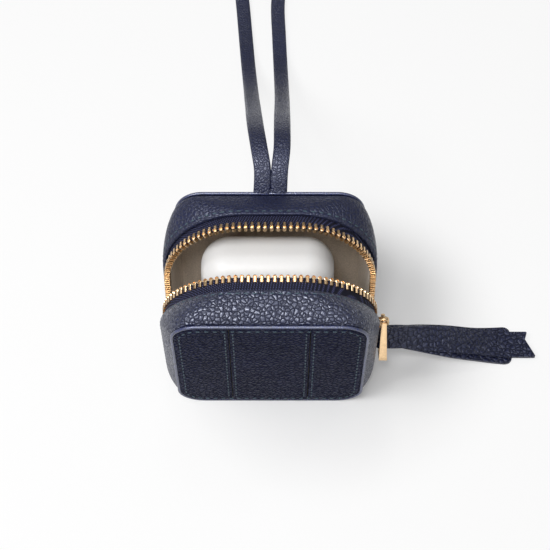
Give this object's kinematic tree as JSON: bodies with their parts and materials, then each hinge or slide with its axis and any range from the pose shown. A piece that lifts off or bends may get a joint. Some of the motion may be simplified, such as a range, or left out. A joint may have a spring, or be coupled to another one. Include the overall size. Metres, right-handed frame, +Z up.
{
  "type": "wireless earbuds case",
  "caption": "Leather zip-around pouch standing open in a V, with a wrist strap, gold zip and leather pull, holding a white earbuds charging case.",
  "frame": {"origin": "on the floor, under the middle of the fold that joins the two halves", "axes": "+X along the fold towards the slider, +Y from the front half to the rear half, +Z up"},
  "size_m": [0.1302, 0.2255, 0.0737],
  "materials": {
    "navy_leather": "pebbled, semi-matt",
    "stiff_board": "matt",
    "taupe_lining": "soft, matt",
    "zip_tape": "woven",
    "gold_metal": "polished light gold",
    "white_plastic": "gloss",
    "hinge_steel": "brushed"
  },
  "bodies": {
    "rear_half": {"rear_panel": "navy_leather", "rear_board": "stiff_board", "rear_piping": "navy_leather", "rear_gusset": "navy_leather", "rear_lining": "taupe_lining", "rear_zip_tape": "zip_tape", "rear_zip_teeth": "gold_metal", "wrist_strap": "navy_leather", "base_gusset": "navy_leather", "charging_case_base": "white_plastic", "charging_case_lid": "white_plastic", "charging_case_hinge": "hinge_steel"},
    "front_half": {"front_panel_left": "navy_leather", "front_panel_centre": "navy_leather", "front_panel_right": "navy_leather", "front_board": "stiff_board", "front_piping": "navy_leather", "front_gusset": "navy_leather", "front_lining": "taupe_lining", "front_zip_tape": "zip_tape", "front_zip_teeth": "gold_metal"},
    "zip_ends": {"zip_tails": "zip_tape", "zip_stops": "gold_metal"},
    "slider": {"slider_body": "gold_metal", "slider_crown": "gold_metal"},
    "pull_ring": {"pull_ring": "gold_metal"},
    "pull_tab": {"pull_tab": "navy_leather"}
  },
  "joints": [
    {"name": "front_hinge", "type": "hinge", "parent": "rear_half", "child": "front_half", "pos_m": [0, 0, 0.00213], "axis": [1, 0, 0], "range_deg": [-14, 0], "deforming": ["base_gusset"]},
    {"name": "zip_ends_follow", "type": "hinge", "parent": "rear_half", "child": "zip_ends", "pos_m": [0, 0, 0.00213], "axis": [1, 0, 0], "range_deg": [-7, 0]},
    {"name": "slider_travel", "type": "slide", "parent": "zip_ends", "child": "slider", "axis": [0, 0, 1], "range_m": [0, 0.016]},
    {"name": "pull_ring_swing", "type": "hinge", "parent": "slider", "child": "pull_ring", "pos_m": [0.03905, 0, 0.02413], "axis": [0, 0.866, -0.5], "range_deg": [-90, 0]},
    {"name": "pull_tab_swing", "type": "hinge", "parent": "pull_ring", "child": "pull_tab", "pos_m": [0.03905, 0.00312, 0.02233], "axis": [0, 0.5, 0.866], "range_deg": [-45, 0]}
  ],
  "couplings": [
    {"joint": "zip_ends_follow", "follows": "front_hinge", "ratio": 0.5}
  ]
}
